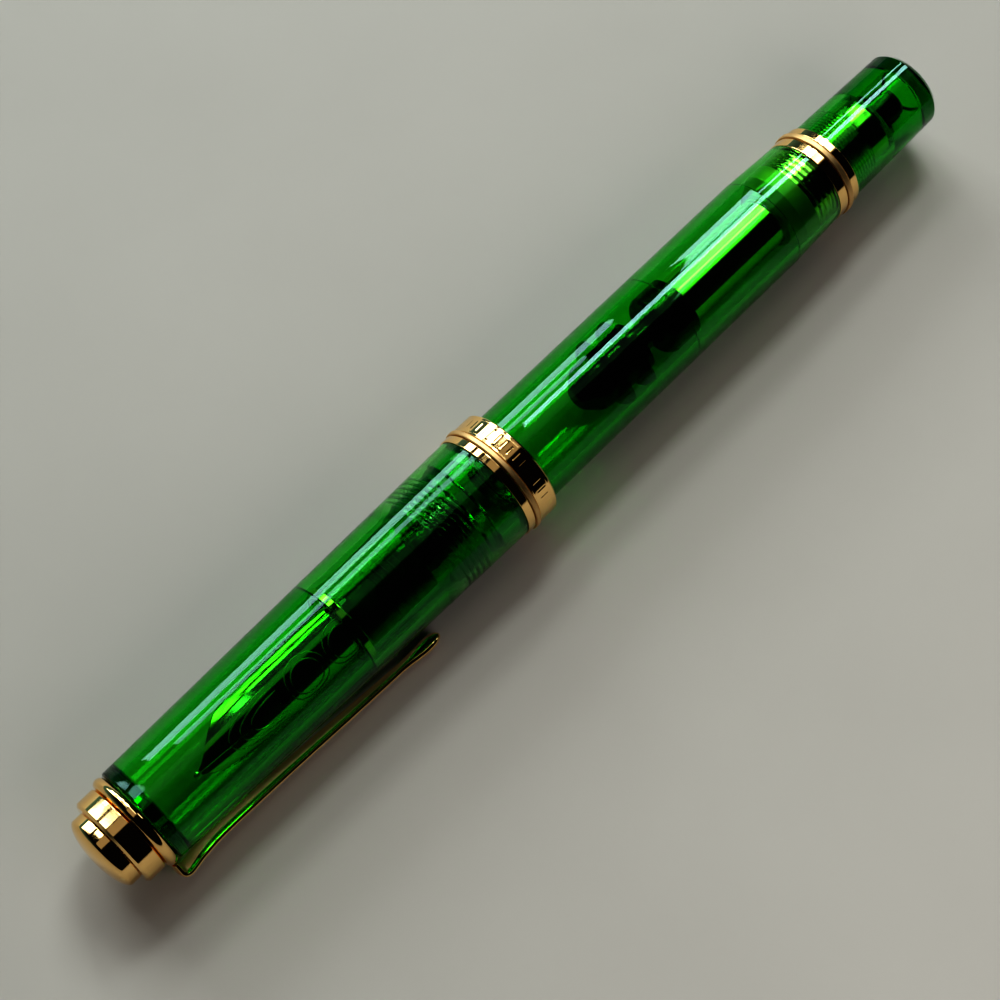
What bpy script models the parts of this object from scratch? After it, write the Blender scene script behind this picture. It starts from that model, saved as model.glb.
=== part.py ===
"""A capped piston-filling fountain pen in clear resin, lying on its clip with its axis along X.

Run it with: blender --background --python part.py

Stations are millimetres along the pen's axis from the tip of the crown, and radii are millimetres from that
axis. The row frame is in metres: +X points from the crown to the piston knob, +Z is up, and the origin is the
centre of the bounding box's underside, so the pen rests on z = 0.
"""

import math

import bmesh
import bpy
from mathutils import Matrix, Vector

MM = 0.001
SIDES = 24  # flat sides of a large turned piece
SMALL_SIDES = 16  # flat sides of a thin one
SEAT_GAP = 0.06  # between pieces that are fixed to each other
RUN_GAP = 0.15  # between pieces that move past each other

# Driving dimensions: stations
PEN_LENGTH = 141.5
DISC_RIM = 1.45  # where the crown's dome meets its disc
DRUM_FRONT = 2.75
WASHER = (2.05, 2.5)
STUD_FRONT = 5.0
CLIP_RING_FRONT = 5.55
CAP_END = 7.15  # outer face of the cap shell's closed end
CAP_FLOOR = 8.6  # inner face of that end
CAP_STEP = 38.1  # ledge in the cap's bore that the grip section's rim closes against
CAP_THREAD = (52.4, 57.4)
LIP_BORE = 58.4  # where the cap's bore widens for the barrel
BAND_NARROW = 62.9
BAND_RAISED = 63.9
BAND_WIDE = 65.1
CAP_MOUTH = 67.75
NIB_POINT = 15.1  # end of the tines, under the tipping
FEED_FRONT = 18.6
FEED_TAIL = 58.0
COLLAR_REAR = 50.0
BARREL_FRONT = 59.05
SPIGOT_REAR = 64.0  # end of the grip section's spigot inside the barrel
BORE_STEP = 94.9  # where the barrel's bore widens for the piston mechanism
BARREL_THREAD = 113.6
BARREL_END = 121.45
RAISED_RING = 122.8
KNOB_RING = 124.2
KNOB_FRONT = 125.2
NECK_END = 133.0
KNOB_FLOOR = 140.1
PISTON_NOSE = 78.9
PISTON_REAR = 89.3
PISTON_LIPS = (83.8, 87.4)
ROD_REAR = 118.0
SPINDLE_FRONT = 91.0
SPINDLE_END = 138.3
GUIDE_FRONT = 92.5
GUIDE_REAR = 96.9
SLEEVE_FRONT = 96.0

# Driving dimensions: radii
CAP_RADIUS_CROWN = 6.5
CAP_RADIUS_BAND = 7.35
BAND_RAISED_RADIUS = 7.7
BAND_WIDE_RADIUS = 7.55
BAND_NARROW_RADIUS = 7.5
BAND_SEAT = 6.98  # outside of the cap shell under its bands
CAP_BORE = 5.25
GRIP_BORE_IN_CAP = 5.85
LIP_BORE_RADIUS = 6.75
BARREL_RADIUS = 6.5
BARREL_REAR_RADIUS = 6.1
INK_BORE = 5.0
MECHANISM_BORE = 5.2
KNOB_RADIUS_FRONT = 5.75
KNOB_RADIUS_END = 5.45
KNOB_BORE = 4.4
TAIL_BORE = 3.3
STUD_RADIUS = 2.0
CROWN_POCKET = 3.2  # room for the crown's washer, which stays behind as the cap rises along its thread

# Cap thread: its ridges pass inside the cap's with clearance, so the cap can also be drawn straight off
THREAD_PITCH = 0.8
THREAD_STARTS = 4
THREAD_DEPTH = 0.28
MALE_ROOT = 5.9
FEMALE_ROOT = 6.62

# Clip: a formed arm that stands off the cap and ends in a drop-shaped pad
CLIP_HINGE = (6.35, 7.2)  # station and radius of the bend that it flexes about
CLIP_THICKNESS = 0.7
CLIP_ROOT_WIDTH = 3.6
CLIP_NECK_WIDTH = 1.8
PAD_STATION = 45.2
PAD_REACH = 9.7  # radius of the pad's centre from the pen's axis
PAD_HALF_LENGTH, PAD_HALF_WIDTH, PAD_HALF_DEPTH = 2.4, 1.3, 0.65

# Nib: a curved plate on a round feed, rolled towards the clip's side
NIB_ROLL = math.radians(40)  # from straight up, towards -Y
NIB_RADIUS = 3.9
NIB_TIP_RADIUS = 2.7
NIB_THICKNESS = 0.35
NIB_REAR = 46.0
BREATHER_STATION = 27.5
BREATHER_RADIUS = 0.65
SLIT_WIDTH = 0.12
TIPPING_RADIUS = 0.45

# The raised band's lowest facet and the clip's pad both stand on the ground
AXIS_HEIGHT = BAND_RAISED_RADIUS * math.cos(math.pi / SIDES)


def clip_drop():
    """The clip's angle below horizontal: the one at which its pad, an ellipsoid, just reaches the ground."""
    a = PAD_REACH**2 - PAD_HALF_DEPTH**2 + PAD_HALF_WIDTH**2
    b = AXIS_HEIGHT * PAD_REACH
    c = AXIS_HEIGHT**2 - PAD_HALF_WIDTH**2
    return math.asin((b - math.sqrt(b * b - a * c)) / a)


CLIP_DROP = clip_drop()
PAD_REACH_Y = math.hypot(PAD_HALF_DEPTH * math.cos(CLIP_DROP), PAD_HALF_WIDTH * math.sin(CLIP_DROP))
CLIP_REACH_Y = PAD_REACH * math.cos(CLIP_DROP) + PAD_REACH_Y
AXIS_Y = (CLIP_REACH_Y - AXIS_HEIGHT) / 2  # centres the box across the clip's side and the band's


# Materials


def material(name, colour, roughness, metallic=0.0, alpha=1.0):
    made = bpy.data.materials.new(name)
    made.use_nodes = True
    shader = made.node_tree.nodes["Principled BSDF"]
    shader.inputs["Base Color"].default_value = (*colour, 1.0)
    shader.inputs["Roughness"].default_value = roughness
    shader.inputs["Metallic"].default_value = metallic
    shader.inputs["Transmission Weight"].default_value = 1.0 - alpha
    made.diffuse_color = (*colour, alpha)
    return made


def make_materials():
    return {
        "resin": material("green_resin", (0.0, 0.36, 0.05), 0.05, alpha=0.3),
        "gold": material("polished_gold_plate", (0.83, 0.60, 0.30), 0.12, metallic=1.0),
        "satin": material("satin_gold_plate", (0.78, 0.56, 0.28), 0.35, metallic=1.0),
        "brass": material("brass", (0.78, 0.62, 0.25), 0.2, metallic=1.0),
        "black": material("black_plastic", (0.012, 0.012, 0.014), 0.25),
        "nib": material("nib_gold", (0.85, 0.65, 0.33), 0.15, metallic=1.0),
        "tipping": material("hard_tipping", (0.62, 0.62, 0.63), 0.2, metallic=1.0),
    }


# Shape tools


def pen_object(name, mesh, surface, parent):
    """One named piece, in the pen's own stations, under the empty that carries it."""
    mesh.materials.append(surface)
    mesh.shade_smooth()
    mesh.set_sharp_from_angle(angle=math.radians(35))
    made = bpy.data.objects.new(name, mesh)
    bpy.context.scene.collection.objects.link(made)
    made.parent = parent
    return made


def finished_mesh(name, bm):
    """Welds a bmesh, turns its faces outwards, and scales it from millimetres."""
    bmesh.ops.remove_doubles(bm, verts=bm.verts, dist=1e-5)
    bmesh.ops.recalc_face_normals(bm, faces=bm.faces)
    bmesh.ops.scale(bm, vec=(MM, MM, MM), verts=bm.verts)
    mesh = bpy.data.meshes.new(name)
    bm.to_mesh(mesh)
    bm.free()
    return mesh


def spun(outline, sides=SIDES, open_on_axis=False):
    """A bmesh of an outline of (station, radius) points turned about the axis, with a flat side down."""
    bm = bmesh.new()
    start = math.pi / sides
    points = [bm.verts.new((x, r * math.sin(start), -r * math.cos(start))) for x, r in outline]
    edges = [bm.edges.new(pair) for pair in zip(points, points[1:])]
    if not open_on_axis:
        edges.append(bm.edges.new((points[-1], points[0])))
    bmesh.ops.spin(
        bm,
        geom=points + edges,
        cent=(0, 0, 0),
        axis=(1, 0, 0),
        angle=2 * math.pi,
        steps=sides,
        use_merge=True,
    )
    bmesh.ops.remove_doubles(bm, verts=bm.verts, dist=1e-5)
    return bm


def turned(name, outline, surface, parent, sides=SIDES):
    """A solid of revolution. An outline that starts and ends on the axis is left open there."""
    open_on_axis = outline[0][1] == 0 and outline[-1][1] == 0
    return pen_object(name, finished_mesh(name, spun(outline, sides, open_on_axis)), surface, parent)


def ring(start, end, inner, outer, crown=0.0):
    """The outline of a ring, whose outside can stand proud at its middle by crown."""
    middle = [((start + end) / 2, outer + crown)] if crown else []
    return [(start, inner), (start, outer), *middle, (end, outer), (end, inner)]


def thread_rows(start, end, radius, pitch):
    """Points along a cylinder, close enough together to carry a thread of that pitch."""
    count = round((end - start) / pitch * 4)
    return [(start + (end - start) * i / count, radius) for i in range(count + 1)]


def cut_thread(bm, start, end, radius, depth):
    """Moves a turned cylinder's rows in or out along a right-handed helix, into ridges of that depth."""
    for vert in bm.verts:
        across = math.hypot(vert.co.y, vert.co.z)
        if not start < vert.co.x < end or abs(across - radius) > 1e-3:
            continue
        angle = math.atan2(vert.co.y, vert.co.z)
        phase = (vert.co.x / THREAD_PITCH + THREAD_STARTS * angle / (2 * math.pi)) % 1.0
        ridge = 1.0 - abs(2.0 * phase - 1.0)
        run_out = min(1.0, (vert.co.x - start) / THREAD_PITCH, (end - vert.co.x) / THREAD_PITCH)
        grown = (across + depth * ridge * run_out) / across
        vert.co.y *= grown
        vert.co.z *= grown


def cutter(name, mesh, parent):
    made = bpy.data.objects.new(name, mesh)
    bpy.context.scene.collection.objects.link(made)
    made.parent = parent
    made.hide_render = True
    made.display_type = "WIRE"
    return made


def box_cutter(name, low, high, parent, roll=0.0):
    """A box cutter between two corners in millimetres, rolled about the pen's axis."""
    bm = bmesh.new()
    bmesh.ops.create_cube(bm, size=1.0)
    low, high = Vector(low), Vector(high)
    bmesh.ops.scale(bm, vec=high - low, verts=bm.verts)
    bmesh.ops.translate(bm, vec=(low + high) / 2, verts=bm.verts)
    bmesh.ops.rotate(bm, cent=(0, 0, 0), matrix=Matrix.Rotation(roll, 3, "X"), verts=bm.verts)
    return cutter(name, finished_mesh(name, bm), parent)


def boolean(piece, tool, operation="DIFFERENCE"):
    made = piece.modifiers.new(tool.name, "BOOLEAN")
    made.operation = operation
    made.object = tool


# The cap


def cap_radius(station):
    """The tapered outside of the cap shell."""
    share = (station - CAP_END) / (BAND_NARROW - CAP_END)
    return CAP_RADIUS_CROWN + share * (CAP_RADIUS_BAND - CAP_RADIUS_CROWN)


def make_cap_shell(surface, parent):
    shell_front = CAP_END + 0.25
    band_front = BAND_NARROW - SEAT_GAP
    lip = CAP_MOUTH - 0.35
    thread_start, thread_end = CAP_THREAD
    outline = [
        (CAP_END, STUD_RADIUS + SEAT_GAP),
        (CAP_END, cap_radius(CAP_END) - 0.25),
        (shell_front, cap_radius(shell_front)),
        (band_front, cap_radius(band_front)),
        (band_front, BAND_SEAT),
        (lip, BAND_SEAT),
        (lip, LIP_BORE_RADIUS),
        (LIP_BORE, LIP_BORE_RADIUS),
        (LIP_BORE - 0.3, FEMALE_ROOT),
        *reversed(thread_rows(thread_start, thread_end, FEMALE_ROOT, THREAD_PITCH)),
        (thread_start - 0.5, GRIP_BORE_IN_CAP),
        (CAP_STEP, GRIP_BORE_IN_CAP),
        (CAP_STEP, CAP_BORE),
        (CAP_FLOOR, CAP_BORE),
        (CAP_FLOOR, STUD_RADIUS + SEAT_GAP),
    ]
    bm = spun(outline)
    cut_thread(bm, thread_start, thread_end, FEMALE_ROOT, -THREAD_DEPTH)
    pen_object("cap_shell", finished_mesh("cap_shell", bm), surface, parent)


def make_cap_bands(gold, satin, cap, carrier):
    seat = BAND_SEAT + SEAT_GAP
    narrow = ring(BAND_NARROW, BAND_RAISED - SEAT_GAP, seat, BAND_NARROW_RADIUS)
    turned("cap_band_narrow", narrow, gold, carrier)
    raised = ring(BAND_RAISED, BAND_WIDE - SEAT_GAP, seat, BAND_RAISED_RADIUS)
    turned("cap_band_raised", raised, satin, cap)
    wide = [
        (BAND_WIDE, seat),
        (BAND_WIDE, BAND_WIDE_RADIUS),
        (CAP_MOUTH - 0.2, BAND_WIDE_RADIUS),
        (CAP_MOUTH, BAND_WIDE_RADIUS - 0.2),
        (CAP_MOUTH, LIP_BORE_RADIUS),
        (CAP_MOUTH - 0.35 + SEAT_GAP, LIP_BORE_RADIUS),
        (CAP_MOUTH - 0.35 + SEAT_GAP, seat),
    ]
    turned("cap_band_wide", wide, gold, cap)


def make_crown(gold, brass, cap, cap_slider):
    """A domed disc and a drum, with a stud that holds the clip's ring, and a washer loose in the middle."""
    disc_radius, pocket_floor = 4.9, WASHER[0] - 0.1
    dome = [
        (DISC_RIM * (1 - math.cos(a)), disc_radius * math.sin(a))
        for a in (math.radians(d) for d in (0, 25, 45, 65, 90))
    ]
    disc_back = DRUM_FRONT - SEAT_GAP
    pocket = [(disc_back, CROWN_POCKET), (pocket_floor, CROWN_POCKET), (pocket_floor, 0)]
    turned("crown_disc", [*dome, (disc_back, disc_radius), *pocket], gold, cap)
    drum_back = CLIP_RING_FRONT - SEAT_GAP
    drum = [
        (DRUM_FRONT, CROWN_POCKET),
        (DRUM_FRONT, 5.7),
        (DRUM_FRONT + 0.3, 6.0),
        (drum_back - 0.2, 6.0),
        (drum_back, 5.7),
        (drum_back, CROWN_POCKET),
    ]
    turned("crown_drum", drum, gold, cap)
    stud = [(STUD_FRONT, 0), (STUD_FRONT, STUD_RADIUS), (CAP_FLOOR, STUD_RADIUS), (CAP_FLOOR, 0)]
    turned("crown_stud", stud, brass, cap, SMALL_SIDES)
    turned("crown_washer", ring(*WASHER, 0.8, CROWN_POCKET - 0.25), brass, cap_slider, SMALL_SIDES)


# The clip


def clip_direction():
    """From the pen's axis to the clip, down towards the ground on the -Y side."""
    return Vector((0, -math.cos(CLIP_DROP), -math.sin(CLIP_DROP)))


def make_clip_ring(surface, parent):
    back = CAP_END - SEAT_GAP
    hole = STUD_RADIUS + SEAT_GAP
    bead = [
        (CLIP_RING_FRONT, hole),
        (CLIP_RING_FRONT, 5.9),
        (CLIP_RING_FRONT + 0.3, 6.35),
        ((CLIP_RING_FRONT + back) / 2, 6.55),
        (back - 0.3, 6.35),
        (back, 5.9),
        (back, hole),
    ]
    turned("clip_ring", bead, surface, parent)


def make_clip_arm(surface, hinge):
    """A strip swept along its bend and joined to its pad. It is built upright and turned to its side."""
    path = [
        (CLIP_HINGE[0], 6.7, CLIP_ROOT_WIDTH),
        (CLIP_HINGE[0], 8.3, CLIP_ROOT_WIDTH),
        (6.6, 8.75, CLIP_ROOT_WIDTH),
        (7.2, 8.85, CLIP_ROOT_WIDTH),
        (9.5, 8.5, 3.5),
        (12.6, 8.3, 3.3),
        (19.0, 8.45, 3.1),
        (26.0, 8.75, 2.8),
        (34.0, 9.2, 2.3),
        (41.5, 9.6, CLIP_NECK_WIDTH),
        (PAD_STATION, PAD_REACH, CLIP_NECK_WIDTH),
    ]
    bm = bmesh.new()
    rows = []
    for i, (x, r, width) in enumerate(path):
        before, after = path[max(i - 1, 0)], path[min(i + 1, len(path) - 1)]
        along = Vector((after[0] - before[0], 0, after[1] - before[1])).normalized()
        up = Vector((-along.z, 0, along.x)) * CLIP_THICKNESS / 2
        centre = Vector((x, 0, r))
        side = Vector((0, width / 2, 0))
        corners = (centre + up + side, centre + up - side, centre - up - side, centre - up + side)
        rows.append([bm.verts.new(corner) for corner in corners])
    for here, there in zip(rows, rows[1:]):
        for k in range(4):
            bm.faces.new((here[k], here[(k + 1) % 4], there[(k + 1) % 4], there[k]))
    bm.faces.new(rows[0])
    bm.faces.new(reversed(rows[-1]))
    turn = Matrix.Rotation(math.pi / 2 + CLIP_DROP, 3, "X")
    place_on_hinge(bm, turn)
    arm = pen_object("clip_arm", finished_mesh("clip_arm", bm), surface, hinge)
    pad = bmesh.new()
    bmesh.ops.create_uvsphere(pad, u_segments=SMALL_SIDES, v_segments=10, radius=1.0)
    bmesh.ops.scale(pad, vec=(PAD_HALF_LENGTH, PAD_HALF_WIDTH, PAD_HALF_DEPTH), verts=pad.verts)
    bmesh.ops.translate(pad, vec=(PAD_STATION, 0, PAD_REACH), verts=pad.verts)
    place_on_hinge(pad, turn)
    boolean(arm, cutter("clip_pad_shape", finished_mesh("clip_pad_shape", pad), hinge), "UNION")


def place_on_hinge(bm, turn):
    """Rolls an upright clip shape to its side, and puts the hinge's line at its origin."""
    bmesh.ops.rotate(bm, cent=(0, 0, 0), matrix=turn, verts=bm.verts)
    offset = clip_direction() * CLIP_HINGE[1] + Vector((CLIP_HINGE[0], 0, 0))
    bmesh.ops.translate(bm, vec=-offset, verts=bm.verts)


# The grip section and the nib


def make_grip_section(resin, gold, parent):
    thread_start, thread_end = CAP_THREAD
    front = CAP_STEP + 1.15
    outline = [
        (front, 4.5),
        (front, 5.3),
        (43.5, 5.1),
        (thread_start - 0.6, 5.6),
        *thread_rows(thread_start, thread_end, MALE_ROOT, THREAD_PITCH),
        (thread_end + 0.3, 6.2),
        (BARREL_FRONT - SEAT_GAP, 6.2),
        (BARREL_FRONT - SEAT_GAP, 5.3),
        (SPIGOT_REAR, 5.3),
        (SPIGOT_REAR, 4.0),
        (COLLAR_REAR + SEAT_GAP, 4.0),
        (COLLAR_REAR + SEAT_GAP, 4.5),
    ]
    bm = spun(outline)
    cut_thread(bm, thread_start, thread_end, MALE_ROOT, THREAD_DEPTH)
    pen_object("grip_section", finished_mesh("grip_section", bm), resin, parent)
    turned("section_ring", ring(CAP_STEP + SEAT_GAP, front - SEAT_GAP, 4.5, 5.4, 0.08), gold, parent)


def nib_top(station):
    """Radius of the nib's upper face: level over the feed, then falling towards the point."""
    fall_start = 27.0
    share = max(0.0, min(1.0, (fall_start - station) / (fall_start - NIB_POINT)))
    return NIB_RADIUS - (NIB_RADIUS - NIB_TIP_RADIUS) * share**1.6


def nib_half_width(station):
    """Half of the nib's width, measured round its curve."""
    shoulder, widest, rear = 23.0, 5.6, 4.3
    if station < shoulder:
        share = (station - NIB_POINT) / (shoulder - NIB_POINT)
        return 0.4 + (widest - 0.4) * share**1.1
    return widest - (widest - rear) * min(1.0, (station - shoulder) / 15.0)


def make_nib(gold, tipping, parent):
    stations = [NIB_POINT, 16.2, 17.6, 19.0, 20.4, 21.8, 23.0, 25.0, 27.0, 30.0, 34.0, 38.0, 42.0, NIB_REAR]
    columns = 16
    bm = bmesh.new()
    rows = []
    for x in stations:
        reach, top = nib_half_width(x), nib_top(x)
        angles = [(2 * k / columns - 1) * reach / top for k in range(columns + 1)]
        rows.append([bm.verts.new((x, -top * math.sin(a), top * math.cos(a))) for a in angles])
    for here, there in zip(rows, rows[1:]):
        for k in range(columns):
            bm.faces.new((here[k], here[k + 1], there[k + 1], there[k]))
    bmesh.ops.rotate(bm, cent=(0, 0, 0), matrix=Matrix.Rotation(NIB_ROLL, 3, "X"), verts=bm.verts)
    mesh = finished_mesh("nib", bm)
    mesh_faces_outwards(mesh)
    nib = pen_object("nib", mesh, gold, parent)
    thick = nib.modifiers.new("plate_thickness", "SOLIDIFY")
    thick.thickness = NIB_THICKNESS * MM
    thick.offset = -1.0
    hole = bmesh.new()
    bmesh.ops.create_cone(
        hole, cap_ends=True, segments=SMALL_SIDES, radius1=BREATHER_RADIUS, radius2=BREATHER_RADIUS, depth=4.0
    )
    bmesh.ops.translate(hole, vec=(BREATHER_STATION, 0, NIB_RADIUS), verts=hole.verts)
    bmesh.ops.rotate(hole, cent=(0, 0, 0), matrix=Matrix.Rotation(NIB_ROLL, 3, "X"), verts=hole.verts)
    boolean(nib, cutter("breather_hole", finished_mesh("breather_hole", hole), parent))
    half_slit = SLIT_WIDTH / 2
    slit_low = (NIB_POINT - 1.0, -half_slit, 1.0)
    slit_high = (BREATHER_STATION, half_slit, NIB_RADIUS + 1.0)
    boolean(nib, box_cutter("tine_slit", slit_low, slit_high, parent, NIB_ROLL))
    for side, sign in (("left", 1), ("right", -1)):
        make_tipping(f"tipping_{side}", sign, tipping, parent)


def mesh_faces_outwards(mesh):
    """Turns an open plate's faces away from the axis, so that its thickness grows inwards."""
    outward = sum(p.normal.y * p.center.y + p.normal.z * p.center.z for p in mesh.polygons)
    if outward < 0:
        mesh.flip_normals()


def make_tipping(name, sign, surface, parent):
    """Half of the hard point: a ball cut by the slit, just ahead of its tine."""
    bm = bmesh.new()
    bmesh.ops.create_uvsphere(bm, u_segments=12, v_segments=8, radius=TIPPING_RADIUS)
    geometry = bm.verts[:] + bm.edges[:] + bm.faces[:]
    cut = (0, sign * SLIT_WIDTH / 2, 0)
    bmesh.ops.bisect_plane(bm, geom=geometry, plane_co=cut, plane_no=(0, -sign, 0), clear_outer=True)
    bmesh.ops.holes_fill(bm, edges=bm.edges, sides=0)
    height = NIB_TIP_RADIUS - NIB_THICKNESS / 2
    bmesh.ops.translate(bm, vec=(NIB_POINT - TIPPING_RADIUS - SEAT_GAP, 0, height), verts=bm.verts)
    bmesh.ops.rotate(bm, cent=(0, 0, 0), matrix=Matrix.Rotation(NIB_ROLL, 3, "X"), verts=bm.verts)
    pen_object(name, finished_mesh(name, bm), surface, parent)


def make_feed(surface, parent):
    """A round feed whose comb of fins shows under the nib. Its tail reaches the ink chamber."""
    fin_count, fin_pitch, fin_start = 7, 1.5, 26.5
    clearance = NIB_THICKNESS + RUN_GAP
    outline = [(FEED_FRONT, 0), (FEED_FRONT, 0.7), (21.5, nib_top(21.5) - clearance - 0.9)]
    outline.append((fin_start - 0.6, nib_top(fin_start) - clearance))
    for i in range(fin_count):
        x = fin_start + i * fin_pitch
        fin = nib_top(x) - clearance
        outline += [(x, fin), (x, 2.5), (x + 0.7, 2.5), (x + 0.7, fin)]
    fin = NIB_RADIUS - clearance
    outline += [(COLLAR_REAR, fin), (COLLAR_REAR, 2.9), (FEED_TAIL, 2.9), (FEED_TAIL, 0)]
    turned("feed", outline, surface, parent, SMALL_SIDES)


def make_nib_collar(surface, parent):
    """The threaded collar that grips nib and feed and screws into the grip section."""
    front = CAP_STEP + 1.2
    groove_start, grooves = 43.6, 4
    outline = [(front, 3.97), (front, 4.4)]
    for i in range(grooves):
        x = groove_start + 0.95 * i
        outline += [(x, 4.4), (x + 0.2, 4.15), (x + 0.4, 4.15), (x + 0.6, 4.4)]
    outline += [(COLLAR_REAR, 4.4), (COLLAR_REAR, 3.97)]
    turned("nib_collar", outline, surface, parent)


# The barrel and the piston mechanism


def make_barrel(resin, gold, satin, parent):
    outline = [
        (BARREL_FRONT, 5.36),
        (BARREL_FRONT, 6.3),
        (BARREL_FRONT + 0.2, BARREL_RADIUS),
        (BARREL_THREAD - 0.5, BARREL_RADIUS),
        (BARREL_END, BARREL_REAR_RADIUS),
        (BARREL_END, 5.4),
        (BARREL_THREAD, 5.4),
        (BARREL_THREAD, MECHANISM_BORE),
        (BORE_STEP, MECHANISM_BORE),
        (BORE_STEP, INK_BORE),
        (SPIGOT_REAR + SEAT_GAP, INK_BORE),
        (SPIGOT_REAR + SEAT_GAP, 5.36),
    ]
    turned("barrel", outline, resin, parent)
    front = BARREL_END + SEAT_GAP
    turned("barrel_ring", ring(front, RAISED_RING - SEAT_GAP, 4.7, 6.15), gold, parent)
    turned("barrel_ring_raised", ring(RAISED_RING, KNOB_RING - RUN_GAP, 4.7, 6.35), satin, parent)


def make_sleeve(surface, parent):
    """The fixed brass body of the mechanism: a tube, a collar that screws into the barrel, and a neck."""
    collar_front = BARREL_THREAD + 0.1
    collar_back = BARREL_END - 0.1
    outline = [
        (SLEEVE_FRONT, 2.3),
        (SLEEVE_FRONT, 3.4),
        (collar_front, 3.4),
        (collar_front, 5.3),
        (collar_back, 5.3),
        (collar_back, 4.6),
        (KNOB_RING - RUN_GAP, 4.6),
        (KNOB_RING - RUN_GAP, 4.15),
        (NECK_END - 0.3, 4.15),
        (NECK_END, 3.9),
        (NECK_END, 2.6),
        (collar_back, 2.6),
        (collar_back, 2.3),
    ]
    turned("mechanism_sleeve", outline, surface, parent)


def flat_sided_cutter(name, start, end, radius, half_flat, parent):
    """A cylinder with two flat sides, as the piston rod has."""
    bm = spun([(start, 0), (start, radius), (end, radius), (end, 0)], SMALL_SIDES, True)
    for sign in (1, -1):
        geometry = bm.verts[:] + bm.edges[:] + bm.faces[:]
        plane = (0, sign * half_flat, 0)
        bmesh.ops.bisect_plane(bm, geom=geometry, plane_co=plane, plane_no=(0, sign, 0), clear_outer=True)
        bmesh.ops.holes_fill(bm, edges=bm.edges, sides=0)
    return cutter(name, finished_mesh(name, bm), parent)


def make_rod_guide(surface, parent):
    """A bush on the sleeve's front end, whose flat-sided hole keeps the piston rod from turning."""
    outline = [
        (GUIDE_FRONT, 0),
        (GUIDE_FRONT, 3.9),
        (GUIDE_FRONT + 0.4, 4.2),
        (GUIDE_REAR, 4.2),
        (GUIDE_REAR, 3.46),
        (SLEEVE_FRONT - SEAT_GAP, 3.46),
        (SLEEVE_FRONT - SEAT_GAP, 0),
    ]
    guide = turned("rod_guide", outline, surface, parent)
    hole = flat_sided_cutter("rod_hole", GUIDE_FRONT - 1.0, 99.0, 1.85 + RUN_GAP, 1.45 + RUN_GAP, parent)
    boolean(guide, hole)


def make_piston(surface, parent):
    head = [
        (PISTON_NOSE, 0),
        (PISTON_NOSE, 1.2),
        (PISTON_NOSE + 1.7, 3.2),
        (PISTON_NOSE + 2.4, 3.45),
    ]
    for lip in PISTON_LIPS:
        edge = INK_BORE - 0.12
        head += [(lip - 0.25, 3.45), (lip - 0.15, edge), (lip + 0.15, edge), (lip + 0.25, 3.45)]
    socket_floor = 84.2 - SEAT_GAP
    head += [(PISTON_REAR, 3.45), (PISTON_REAR, 1.93), (socket_floor, 1.93), (socket_floor, 0)]
    turned("piston_head", head, surface, parent)
    rod_bore = 1.3
    rod = turned(
        "piston_rod",
        [
            (84.2, 0),
            (84.2, 1.85),
            (ROD_REAR, 1.85),
            (ROD_REAR, rod_bore),
            (SPINDLE_FRONT - 1.0, rod_bore),
            (SPINDLE_FRONT - 1.0, 0),
        ],
        surface,
        parent,
        SMALL_SIDES,
    )
    for side in (1, -1):
        low, high = sorted((side * 1.45, side * 3.0))
        name = "rod_flat_left" if side > 0 else "rod_flat_right"
        boolean(rod, box_cutter(name, (80, low, -3), (120, high, 3), parent))


def make_knob(resin, gold, black, knob, carrier):
    outline = [
        (KNOB_FRONT, KNOB_BORE),
        (KNOB_FRONT, KNOB_RADIUS_FRONT),
        (PEN_LENGTH - 0.8, KNOB_RADIUS_END),
        (PEN_LENGTH - 0.25, KNOB_RADIUS_END - 0.25),
        (PEN_LENGTH, KNOB_RADIUS_END - 0.8),
        (PEN_LENGTH, 0),
        (KNOB_FLOOR, 0),
        (KNOB_FLOOR, TAIL_BORE - 0.6),
        (KNOB_FLOOR - 0.6, TAIL_BORE),
        (NECK_END + 0.4, TAIL_BORE),
        (NECK_END + 0.4, KNOB_BORE),
    ]
    turned("knob", outline, resin, knob)
    turned("knob_ring", ring(KNOB_RING, KNOB_FRONT - SEAT_GAP, 4.45, 6.05), gold, carrier)
    make_spindle(black, knob)


def make_spindle(surface, parent):
    """The knob turns this screw in the piston rod. Its forked tail is sprung into the knob."""
    tail_front = NECK_END + 0.5
    flange_back, flange_radius, tail_radius = tail_front + 0.9, TAIL_BORE - SEAT_GAP, 2.35
    outline = [
        (SPINDLE_FRONT, 0),
        (SPINDLE_FRONT, 1.1),
        (ROD_REAR + 1.0, 1.1),
        (ROD_REAR + 1.5, 1.6),
        (tail_front, 1.6),
        (tail_front, flange_radius),
        (flange_back, flange_radius),
        (flange_back, tail_radius),
        (SPINDLE_END - 0.6, tail_radius),
        (SPINDLE_END, tail_radius - 0.7),
        (SPINDLE_END, 0),
    ]
    spindle = turned("spindle", outline, surface, parent, SMALL_SIDES)
    fork = box_cutter("fork_slot", (flange_back + 0.4, -4, -0.7), (SPINDLE_END + 1, 4, 0.7), parent)
    boolean(spindle, fork)


# The assembly


def empty(name, location, parent=None):
    made = bpy.data.objects.new(name, None)
    bpy.context.scene.collection.objects.link(made)
    made.parent = parent
    made.location = Vector(location) * MM
    return made


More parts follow.
